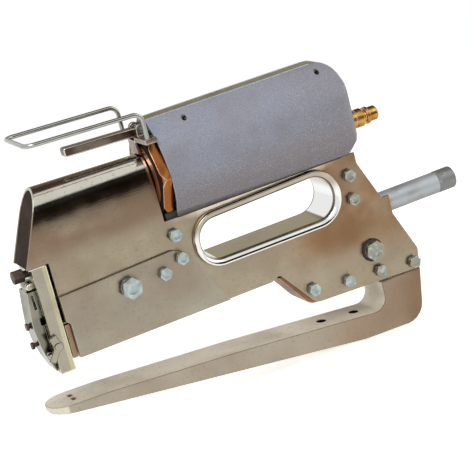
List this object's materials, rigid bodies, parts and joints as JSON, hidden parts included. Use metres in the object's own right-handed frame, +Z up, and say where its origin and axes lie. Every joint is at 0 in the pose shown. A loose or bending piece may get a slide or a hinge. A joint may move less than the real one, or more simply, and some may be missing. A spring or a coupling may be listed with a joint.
{
  "type": "air stapler",
  "caption": "Hand-held air stapler: folded sheet body with a finger slot, air cylinder in a grey grip housing, wire trigger guard, bell crank drive and a long anvil arm.",
  "frame": {"origin": "centre of the hand slot, in the tool's middle plane", "axes": "+X from the nose to the rear, +Z up, the left side of the tool faces -Y"},
  "size_m": [0.3295, 0.057, 0.2114],
  "materials": {
    "nickel": "satin nickel plate on sheet steel",
    "polished": "polished",
    "charcoal": "matt dark paint",
    "zinc": "bright zinc plate",
    "steel": "machined steel",
    "gunmetal": "blackened steel",
    "brass": "satin",
    "gold": "bright",
    "aluminium": "satin",
    "grey_paint": "fine texture",
    "black_plastic": "matt",
    "rubber": "matt"
  },
  "bodies": {
    "body": {"body_shell": "nickel", "slot_liner": "polished", "magazine_cover_left": "nickel", "magazine_cover_right": "nickel", "front_plate": "charcoal", "front_spacer": "steel", "rear_spacer": "steel", "tail_spacer": "gunmetal", "nose_guide": "polished", "front_screw": "gunmetal", "catch_pin": "zinc", "magazine_channel": "gunmetal", "magazine_rail": "steel", "staple_strip": "zinc", "pusher_spring": "steel", "cylinder_tube": "aluminium", "gland_nut": "brass", "rear_head": "aluminium", "air_nipple": "gold", "saddle": "black_plastic", "cover_left": "grey_paint", "cover_right": "grey_paint", "spine": "aluminium", "valve_body": "aluminium", "valve_spring": "steel", "trigger_pin": "zinc", "guard_bracket": "steel", "guard_bow": "polished", "pivot_bush_left": "black_plastic", "pivot_bush_right": "black_plastic", "crank_bolt": "zinc", "arm_bolt": "zinc", "cover_bolt_front": "zinc", "cover_bolt_rear": "zinc", "hood_bolt": "zinc", "grip_bolt_lower": "zinc", "grip_bolt_upper": "zinc", "tail_bolt_front": "zinc", "tail_bolt_middle": "zinc", "tail_bolt_rear": "zinc", "heel_bolt": "zinc"},
    "piston": {"piston": "aluminium", "piston_seal": "rubber", "piston_rod": "polished", "clevis": "steel", "clevis_pin": "polished"},
    "crank": {"bell_crank": "steel"},
    "driver": {"driver_holder": "steel", "driver_blade": "polished"},
    "trigger": {"trigger_lever": "polished"},
    "valve": {"valve_stem": "polished"},
    "door": {"nose_door": "nickel", "door_stud_upper": "gunmetal", "door_stud_lower": "gunmetal"},
    "catch": {"nose_catch": "nickel"},
    "pusher": {"pusher": "steel", "pusher_rod": "polished", "knob_tube": "aluminium", "knob_cap": "aluminium"},
    "arm": {"anvil_arm": "nickel"}
  },
  "joints": [
    {"name": "piston_slide", "type": "slide", "parent": "body", "child": "piston", "axis": [-1, 0, 0], "range_m": [0, 0.02283]},
    {"name": "crank_swing", "type": "hinge", "parent": "body", "child": "crank", "pos_m": [-0.1066, 0, -0.011], "axis": [0, -1, 0], "range_deg": [0, 20.8]},
    {"name": "driver_slide", "type": "slide", "parent": "body", "child": "driver", "axis": [0, 0, -1], "range_m": [0, 0.01971]},
    {"name": "trigger_press", "type": "hinge", "parent": "body", "child": "trigger", "pos_m": [-0.0673, 0, 0.0837], "axis": [0, -1, 0], "range_deg": [0, 10], "stiffness_Nm_per_rad": 0.3, "springref_deg": -6.88},
    {"name": "valve_slide", "type": "slide", "parent": "body", "child": "valve", "axis": [1, 0, 0], "range_m": [0, 0.001], "deforming": ["valve_spring"]},
    {"name": "door_swing", "type": "hinge", "parent": "body", "child": "door", "pos_m": [-0.1685, 0, 0.0091], "axis": [0, 1, 0], "range_deg": [0, 60]},
    {"name": "catch_swing", "type": "hinge", "parent": "body", "child": "catch", "pos_m": [-0.1635, 0, -0.0319], "axis": [0, -1, 0], "range_deg": [0, 40]},
    {"name": "pusher_slide", "type": "slide", "parent": "body", "child": "pusher", "axis": [1, 0, 0], "range_m": [0, 0.085], "stiffness_N_per_m": 40, "springref_m": -0.08, "deforming": ["pusher_spring"]},
    {"name": "arm_swing", "type": "hinge", "parent": "body", "child": "arm", "pos_m": [0.0701, 0, -0.0487], "axis": [0, 1, 0], "range_deg": [0, 5]}
  ],
  "couplings": [
    {"joint": "crank_swing", "follows": "piston_slide", "rad_per_m": 15.899},
    {"joint": "driver_slide", "follows": "piston_slide", "ratio": 0.86326},
    {"joint": "valve_slide", "follows": "trigger_press", "m_per_rad": 0.00572}
  ]
}
